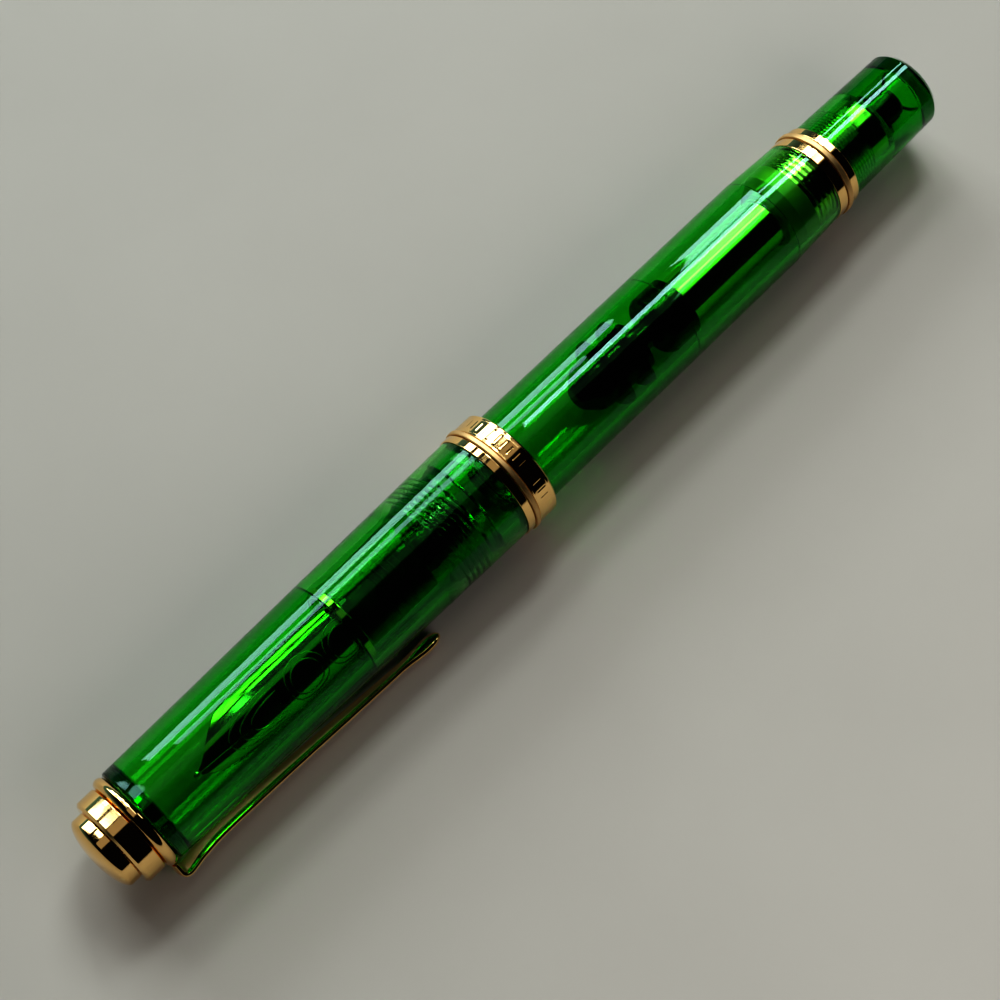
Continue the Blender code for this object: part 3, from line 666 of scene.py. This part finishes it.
def make_tipping(side, sign):
    """Half of the writing point: a slightly long ball, ground flat along the slit."""
    bm = bmesh.new()
    bmesh.ops.create_uvsphere(bm, u_segments=28, v_segments=18, radius=1.0)
    bmesh.ops.scale(bm, vec=(0.52, 0.45, 0.45), verts=bm.verts)
    geometry = bm.verts[:] + bm.edges[:] + bm.faces[:]
    cut = (0, sign * HALF_SLIT, 0)
    bmesh.ops.bisect_plane(bm, geom=geometry, plane_co=cut, plane_no=(0, -sign, 0), clear_outer=True)
    bmesh.ops.holes_fill(bm, edges=bm.edges, sides=0)
    start = span("tipping_left")[0]
    height = NIB_TIP_RADIUS - NIB_THICKNESS / 2
    bmesh.ops.translate(bm, vec=(start + 0.54, 0, height), verts=bm.verts)
    name = f"tipping_{side}_ball"
    piece(name, finished(name, bm), TIPPING, "barrel", "tipping_metal", f"tipping_{side}", roll=NIB_ROLL)


def wire(bm, points, radius):
    """A fine half-buried wire over the nib, along (station, across) points."""
    sides = 6
    centres = [on_nib(x, s) for x, s in points]
    rows = []
    for i, centre in enumerate(centres):
        along = (centres[min(i + 1, len(centres) - 1)] - centres[max(i - 1, 0)]).normalized()
        out = Vector((0, centre.y, centre.z)).normalized()
        across = along.cross(out).normalized()
        taper = min(1.0, 0.25 + 6.0 * min(i, len(centres) - 1 - i) / max(1, len(centres) - 1))
        ring = []
        for k in range(sides):
            a = TAU * k / sides
            ring.append(bm.verts.new(centre + (across * math.cos(a) + out * math.sin(a)) * radius * taper))
        rows.append(ring)
    for here, there in zip(rows, rows[1:]):
        for k in range(sides):
            bm.faces.new((here[k], here[(k + 1) % sides], there[(k + 1) % sides], there[k]))
    bm.faces.new(rows[0])
    bm.faces.new(rows[-1][::-1])


SLIT_MARGIN = 0.3  # between the slit and the relief


def make_engraving():
    """Plain border lines, nested arches and nested ovals, mirrored about the slit."""
    fine, bold = 0.06, 0.085
    bm = bmesh.new()
    for sign in (1, -1):
        for inset in (0.8, 1.15):
            line = [(x, sign * (nib_half_width(x) - inset)) for x in np.linspace(21.0, 44.5, 70)]
            wire(bm, line, fine)
        for front, half, length in ((19.6, 2.5, 7.5), (21.2, 1.95, 6.0), (22.8, 1.4, 4.6)):
            arch = []
            for i in range(26):
                a = math.pi / 2 * i / 25
                across = SLIT_MARGIN + (half - SLIT_MARGIN) * math.sin(a)
                arch.append((front + length * (1 - math.cos(a)), sign * across))
            wire(bm, arch, bold)
        for middle, half in ((31.2, 2.6), (31.2, 1.9), (37.2, 2.6), (37.2, 1.9), (42.0, 1.5)):
            arc = []
            for i in range(40):
                a = math.pi * i / 39
                across = SLIT_MARGIN + (half - SLIT_MARGIN) * math.sin(a)
                arc.append((middle + 1.05 * half * math.cos(a), sign * across))
            wire(bm, arc, bold)
    mesh = finished("nib_scrollwork", bm)
    piece("nib_scrollwork", mesh, NIB_RELIEF, "barrel", "nib_gold", roll=NIB_ROLL)


def make_feed():
    """A black feed that narrows to the point, with a comb of fins behind its shoulder."""
    front, tail = span("feed")
    comb, fins, fin_pitch = 26.0, 14, 0.75
    clearance = NIB_THICKNESS + 0.15
    outline = [(front, 0), (front, 0.55, 0.2)]
    for x in np.linspace(19.4, 25.6, 9):
        rise = (x - front) / (comb - front)
        outline.append((x, 0.6 + (float(nib_top(comb)) - clearance - 0.6) * rise**0.8))
    for i in range(fins):
        x = comb + fin_pitch * i
        fin = float(nib_top(x)) - clearance
        outline += [(x, fin, 0.05), (x, 2.6), (x + 0.4, 2.6), (x + 0.4, fin, 0.05)]
    fin = NIB_RADIUS - clearance
    outline += [(50.0, fin, 0.1), (50.0, 2.9), (tail, 2.9, 0.1), (tail, 0)]
    outline = rounded(outline, closed=False, steps=2)
    turned(
        "feed_black",
        outline,
        BLACK,
        "barrel",
        "black_plastic",
        "feed",
        roll=NIB_ROLL,
        segments=72,
        closed=False,
    )


NIB_COLLAR_THREAD = (43.4, 48.2)
NIB_COLLAR_ROOT, NIB_COLLAR_DEPTH, NIB_COLLAR_PITCH = 4.2, 0.2, 0.95
COLLAR_SEAT = 50.06  # where the grip's bore narrows behind the nib's collar


def make_grip():
    barrel_front = span("barrel")[0]
    front, rear = span("grip_section")
    before_thread = [(front, 4.5), (front, 5.3, 0.15)]
    narrowest = 43.5
    flare = np.linspace(narrowest, CAP_THREAD[0] - 0.6, 12)
    waist = [(x, 5.1 + 0.5 * ((x - narrowest) / 8.3) ** 2) for x in flare]
    before_thread += [(41.2, 5.14), *waist]
    rows = rows_along(*CAP_THREAD, GRIP_THREAD_ROOT, THREAD_STEP)
    after_thread = [
        (CAP_THREAD[1] + 0.3, 6.2, 0.1),
        (barrel_front - SEAT_GAP, 6.2, 0.1),
        (barrel_front - SEAT_GAP, 5.3),
        (rear, 5.3, 0.15),
        (rear, 4.0, 0.1),
        (COLLAR_SEAT, 4.0),
        (COLLAR_SEAT, 4.5),
    ]
    cut = thread(*CAP_THREAD, GRIP_THREAD_ROOT, GRIP_THREAD_DEPTH, THREAD_PITCH, THREAD_STARTS)
    outline = rounded(before_thread + rows + after_thread)
    turned("grip_resin", outline, RESIN, "barrel", "green_resin", "grip_section", [cut])
    ring = plain_ring("section_ring", 4.5, 0.12)
    turned("section_ring_gold", ring, GOLD, "barrel", "polished_gold", "section_ring")
    front, rear = span("nib_collar")
    inner, outer = 3.97, 4.4
    collar = [
        (front, inner),
        (front, outer, 0.1),
        (43.1, outer),
        *rows_along(*NIB_COLLAR_THREAD, NIB_COLLAR_ROOT, 0.07),
        (48.5, outer),
        (rear, outer, 0.1),
        (rear, inner),
    ]
    cut = thread(*NIB_COLLAR_THREAD, NIB_COLLAR_ROOT, NIB_COLLAR_DEPTH, NIB_COLLAR_PITCH)
    collar = rounded(collar)
    turned("nib_collar_black", collar, COLLAR_BLACK, "barrel", "black_plastic", "nib_collar", [cut])


# The barrel, the piston mechanism and the knob

BARREL_THREAD, BORE_STEP, SPIGOT_REAR = 113.6, 94.9, 64.06
INK_BORE, MECHANISM_BORE = 5.0, 5.2
RING_BORE = 4.7  # of the three rings between the barrel and the knob
NECK_THREAD, NECK_ROOT, NECK_DEPTH, NECK_PITCH = (124.9, 129.8), 4.0, 0.15, 0.5  # on the sleeve
COLLAR_RADIUS, COLLAR_ROOT, COLLAR_DEPTH, COLLAR_PITCH = 5.3, 4.95, 0.33, 0.85  # on the sleeve's collar
KNOB_THREAD, KNOB_ROOT, KNOB_DEPTH = (125.4, 129.8), 4.42, 0.12
KNOB_NECK, KNOB_FLOOR = 133.4, 140.1  # where the knob's bore narrows, and where it ends


def make_barrel():
    start, end = span("barrel")
    radius, rear_radius = radius_of("barrel"), 6.1
    outline = rounded(
        [
            (start, 5.36),
            (start, radius - 0.2),
            (start + 0.2, radius, 0.1),
            (BARREL_THREAD - 0.5, radius, 3.0),
            (end, rear_radius, 0.12),
            (end, 5.4),
            (BARREL_THREAD, 5.4),
            (BARREL_THREAD, MECHANISM_BORE, 0.05),
            (BORE_STEP, MECHANISM_BORE, 0.05),
            (BORE_STEP, INK_BORE, 0.05),
            (SPIGOT_REAR, INK_BORE, 0.05),
            (SPIGOT_REAR, 5.36),
        ]
    )
    turned("barrel_resin", outline, RESIN, "barrel", "green_resin", "barrel")
    ring = plain_ring("barrel_ring", RING_BORE, 0.1, (0.0, RING_TRIM))
    turned("barrel_ring_gold", ring, GOLD, "barrel", "polished_gold", "barrel_ring")
    ring = plain_ring("barrel_ring_raised", RING_BORE, 0.15, (RING_TRIM, -RING_TRIM))
    turned("barrel_ring_satin", ring, SATIN, "barrel", "satin_gold", "barrel_ring_raised")


def make_mechanism():
    front, rear = span("mechanism_sleeve")
    collar_front, collar_back = BARREL_THREAD + 0.1, span("barrel")[1] - 0.1
    ring_back = span("barrel_ring_raised")[1]
    thread_front, thread_back = COLLAR_MATTE[1], collar_back - 0.2
    collar_rows = rows_along(thread_front, thread_back, COLLAR_ROOT, 0.06)
    neck_rows = rows_along(*NECK_THREAD, NECK_ROOT, 0.05)
    outline = rounded(
        [
            (front, 2.3),
            (front, 3.4, 0.15),
            (collar_front, 3.4, 0.1),
            (collar_front, 4.1, 0.1),
            (collar_front + 1.7, COLLAR_RADIUS, 0.1),
            (thread_front - 0.1, COLLAR_RADIUS, 0.05),
            *collar_rows,
            (collar_back, COLLAR_RADIUS, 0.05),
            (collar_back, 4.6),
            (ring_back, 4.6, 0.05),
            (ring_back, NECK_ROOT),
            *neck_rows,
            (NECK_THREAD[1] + 0.1, 4.15, 0.03),
            (rear - 0.3, 4.15, 0.05),
            (rear, 3.9, 0.05),
            (rear, 2.6),
            (collar_back, 2.6),
            (collar_back, 2.3),
        ]
    )
    cuts = [
        thread(thread_front, thread_back, COLLAR_ROOT, COLLAR_DEPTH, COLLAR_PITCH),
        thread(*NECK_THREAD, NECK_ROOT, NECK_DEPTH, NECK_PITCH),
    ]
    turned("sleeve_brass", outline, BRASS, "barrel", "brass", "mechanism_sleeve", cuts)
    sleeve_seat = front - SEAT_GAP
    front, rear = span("rod_guide")
    guide = rounded(
        [
            (front, 2.02),
            (front, 3.9, 0.1),
            (front + 0.4, 4.2, 0.25),
            (rear, 4.2, 0.2),
            (rear, 3.46),
            (sleeve_seat, 3.46),
            (sleeve_seat, 2.02),
        ]
    )
    turned("rod_guide_black", guide, BLACK, "barrel", "black_plastic", "rod_guide")


def make_piston():
    nose, rear = span("piston_head")
    body, edge = 3.45, INK_BORE - 0.1
    socket, socket_floor = 1.93, 84.14
    outline = [(nose, 0), (nose, 1.5, 1.0), (nose + 1.9, 3.2, 2.0), (nose + 3.2, body, 0.6)]
    for lip in (83.8, 87.4):
        outline += [(lip - 0.4, body, 0.15), (lip - 0.2, edge, 0.08)]
        outline += [(lip + 0.2, edge, 0.08), (lip + 0.4, body, 0.15)]
    outline += [(rear, body, 0.2), (rear, socket), (socket_floor, socket), (socket_floor, 0)]
    outline = rounded(outline, closed=False)
    turned(
        "piston_head_black",
        outline,
        BLACK,
        "piston",
        "black_plastic",
        "piston_head",
        closed=False,
        segments=96,
    )
    start, end = span("piston_rod")
    rod, flat, sides = 1.85, 1.45, 64  # a round rod with two flats that keep it from turning
    ring = []
    for k in range(sides):
        a = TAU * k / sides
        ring.append((max(-flat, min(flat, rod * math.sin(a))), rod * math.cos(a)))
    across, up = Vector((0, 1, 0)), Vector((0, 0, 1))
    path = [(Vector((x, 0, 0)), across, up) for x in (start, start + 0.05, end - 0.05, end)]
    mesh = swept("piston_rod_black", path, lambda i: ring)
    piece("piston_rod_black", mesh, BLACK, "piston", "black_plastic", "piston_rod")


def make_knob():
    start, end = span("knob")
    front_radius, end_radius, bore, tail = radius_of("knob"), 5.45, 4.4, 3.3
    rows = rows_along(KNOB_THREAD[1], KNOB_THREAD[0], KNOB_ROOT, 0.05)
    outline = rounded(
        [
            (start, bore, 0.05),
            (start, front_radius, 0.06),
            (end - 0.6, end_radius, 0.15),
            (end, end_radius - 0.5, 0.2),
            (end, 0),
            (KNOB_FLOOR, 0),
            (KNOB_FLOOR, tail, 0.9),
            (KNOB_NECK, tail, 0.1),
            (KNOB_NECK, bore, 0.1),
            *rows,
        ],
        closed=False,
    )
    outline.append(outline[0])
    cut = thread(*KNOB_THREAD, KNOB_ROOT, -KNOB_DEPTH, NECK_PITCH)
    turned("knob_resin", outline, RESIN, "knob", "green_resin", "knob", [cut], closed=False)
    ring = plain_ring("knob_ring", RING_BORE, 0.1, (-RING_TRIM, 0.0))
    turned("knob_ring_gold", ring, GOLD, "knob_lifter", "polished_gold", "knob_ring")
    make_spindle()


def make_spindle():
    """The screw in the piston rod, with a forked tail that is sprung into the knob."""
    start, end = span("spindle")
    tail_front = KNOB_NECK + 0.1
    flange, tail, screw = 3.24, 2.35, 1.1
    outline = rounded(
        [
            (start, 0),
            (start, screw, 0.1),
            (119.0, screw, 0.1),
            (119.5, 1.6, 0.1),
            (tail_front, 1.6),
            (tail_front, flange, 0.1),
            (tail_front + 0.9, flange, 0.1),
            (tail_front + 0.9, tail, 0.1),
            (end, tail, 1.0),
            (end, 0),
        ],
        closed=False,
    )
    spindle = turned(
        "spindle_black",
        outline,
        BLACK,
        "knob",
        "black_plastic",
        "spindle",
        closed=False,
        segments=64,
    )
    bm = bmesh.new()
    bmesh.ops.create_cube(bm, size=1.0)
    low, high = Vector((tail_front + 1.3, -4, -0.7)), Vector((end + 1, 4, 0.7))
    bmesh.ops.scale(bm, vec=high - low, verts=bm.verts)
    bmesh.ops.translate(bm, vec=(low + high) / 2, verts=bm.verts)
    slot = bpy.data.objects.new("fork_slot", finished("fork_slot", bm))
    bpy.context.scene.collection.objects.link(slot)
    slot.matrix_world = Matrix.Translation(AXIS)
    cut = spindle.modifiers.new("fork", "BOOLEAN")
    cut.object, cut.operation, cut.solver = slot, "DIFFERENCE", "EXACT"
    bpy.context.view_layer.update()
    evaluated = spindle.evaluated_get(bpy.context.evaluated_depsgraph_get())
    sliced = bpy.data.meshes.new_from_object(evaluated)
    spindle.modifiers.clear()
    spindle.data = sliced
    bpy.data.objects.remove(slot, do_unlink=True)
    sliced.set_sharp_from_angle(angle=math.radians(35))


# The hidden nodes that keep their shape


def dress_hidden():
    for node in ("crown_stud", "crown_washer"):
        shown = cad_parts[node]
        shown.data.materials.clear()
        shown.data.materials.append(BRASS)


# The studio


def make_floor():
    """A plain pale surface, at the height of the raised band that rests on it."""
    mesh = bpy.data.meshes.new("floor")
    size, height = 3.0, -0.00007
    corners = [(-size, -size, height), (size, -size, height), (size, size, height), (-size, size, height)]
    mesh.from_pydata(corners, [], [(0, 1, 2, 3)])
    made, tree, shader, mm = surface("pale_floor")
    cloudy = noise(tree, mm, 0.02, 4.0)
    tone = blend_colours(tree, spread(tree, cloudy, 0, 1), (0.591, 0.558, 0.505), (0.565, 0.532, 0.481))
    tree.links.new(tone, shader.inputs["Base Color"])
    shader.inputs["Roughness"].default_value = 0.65
    shader.inputs["Specular IOR Level"].default_value = 0.3
    mesh.materials.append(made)
    floor = bpy.data.objects.new("floor", mesh)
    bpy.context.scene.collection.objects.link(floor)


def pane(name, lateral, along, radiance, colour=(0.90, 0.98, 1.0), distance=1.0):
    """A soft rectangular lamp seen from the pen between two angles across its axis and two along it.

    The angles across are from straight up towards +Y, and the angles along lean towards the knob.
    """
    a, b = math.radians(sum(lateral) / 2), math.radians(sum(along) / 2)
    away = Vector((math.sin(b), math.cos(b) * math.sin(a), math.cos(b) * math.cos(a)))
    length_way = Vector((math.cos(b), -math.sin(b) * math.sin(a), -math.sin(b) * math.cos(a)))
    width_way = Vector((0, math.cos(a), -math.sin(a)))
    data = bpy.data.lights.new(name, "AREA")
    data.shape = "RECTANGLE"
    data.size = 2 * distance * math.tan(math.radians(along[1] - along[0]) / 2)
    data.size_y = 2 * distance * math.tan(math.radians(lateral[1] - lateral[0]) / 2) * math.cos(b)
    data.color = colour
    data.energy = radiance * math.pi * data.size * data.size_y
    made = bpy.data.objects.new(name, data)
    bpy.context.scene.collection.objects.link(made)
    turn = Matrix((length_way, width_way, away)).transposed().to_4x4()
    made.matrix_world = Matrix.Translation(away * distance) @ turn
    return made


def make_light():
    """A tall window in panes on the +Y side of a dim room, a pale ceiling and a far wall.

    The fill stands close on the clip's side. Only matte surfaces see it, so it lifts the pen's shadow
    and adds no reflection.
    """
    pane("pane_low", (53, 69), (0.6, 22.5), 6.5)
    pane("pane_middle", (35, 45), (1.4, 21), 5.5)
    pane("pane_high", (18, 28), (18, 40), 12.0)
    pane("pane_side", (30, 59), (25.5, 29.8), 8.0)
    pane("pane_knob", (38, 43), (30.5, 42), 9.0)
    pane("pane_sleeve", (-5, 18), (24.6, 28.4), 2.6)
    pane("pane_neck", (-5, 36), (30.4, 33), 2.6)
    pane("pane_crown_low", (44, 78), (-5, -0.4), 5.5)
    pane("pane_crown_high", (15, 37), (-3.5, -0.4), 4.5)
    pane("far_wall", (-24, -4), (52, 66), 1.6)
    pane("ceiling", (-8, 13), (-38, 38), 0.32, colour=(1.0, 0.93, 0.8))
    fill = pane("fill", (-70, -40), (-25, 25), 1.6, colour=(1.0, 0.94, 0.95), distance=0.3)
    fill.visible_glossy = fill.visible_transmission = False
    world = bpy.data.worlds.new("soft_room")
    world.use_nodes = True
    tree = world.node_tree
    direction = add(tree, "TexCoord").outputs["Generated"]
    parts = add(tree, "SeparateXYZ", {0: direction})
    side = spread(tree, parts.outputs["Y"], 0.0, 1.0, 0.1, 0.95)
    low = spread(tree, parts.outputs["Z"], 1.0, 0.0, 0.05, 0.6)
    bright = arithmetic(tree, "MULTIPLY", side, low)
    glow = blend_colours(tree, bright, (0.006, 0.005, 0.004), (0.10, 0.20, 0.23))
    background = tree.nodes["Background"]
    tree.links.new(glow, background.inputs["Color"])
    bpy.context.scene.world = world


def make_camera():
    """At the photograph's viewing angle: above the crown's end, leaning to the clip's side."""
    azimuth, elevation = math.radians(223.8), math.radians(66.882)
    target, distance = Vector((-5.225, 0.114, 0.0)) * MM, 272.49 * MM
    back = Vector(
        (
            math.cos(azimuth) * math.cos(elevation),
            math.sin(azimuth) * math.cos(elevation),
            math.sin(elevation),
        )
    )
    data = bpy.data.cameras.new("camera")
    data.sensor_width, data.lens = 36.0, 79.56
    data.clip_start, data.clip_end = 0.01, 20.0
    made = bpy.data.objects.new("camera", data)
    bpy.context.scene.collection.objects.link(made)
    made.location = target + back * distance
    made.rotation_mode = "QUATERNION"
    made.rotation_quaternion = (-back).to_track_quat("-Z", "Y")
    bpy.context.scene.camera = made


def set_light_paths():
    """Sets the tone of the picture, and light paths long enough for eight walls of resin and back."""
    scene = bpy.context.scene
    scene.view_settings.view_transform = "Standard"
    scene.view_settings.look = "Very High Contrast"
    scene.view_settings.exposure = -0.35
    scene.cycles.max_bounces = 36
    scene.cycles.transmission_bounces = 36
    scene.cycles.glossy_bounces = 12
    scene.cycles.diffuse_bounces = 5
    scene.cycles.sample_clamp_indirect = 12.0
    scene.cycles.use_denoising = True


make_cap()
make_bands()
make_crown()
make_clip()
make_grip()
make_nib()
make_feed()
make_barrel()
make_mechanism()
make_piston()
make_knob()
dress_hidden()
make_floor()
make_light()
make_camera()
set_light_paths()
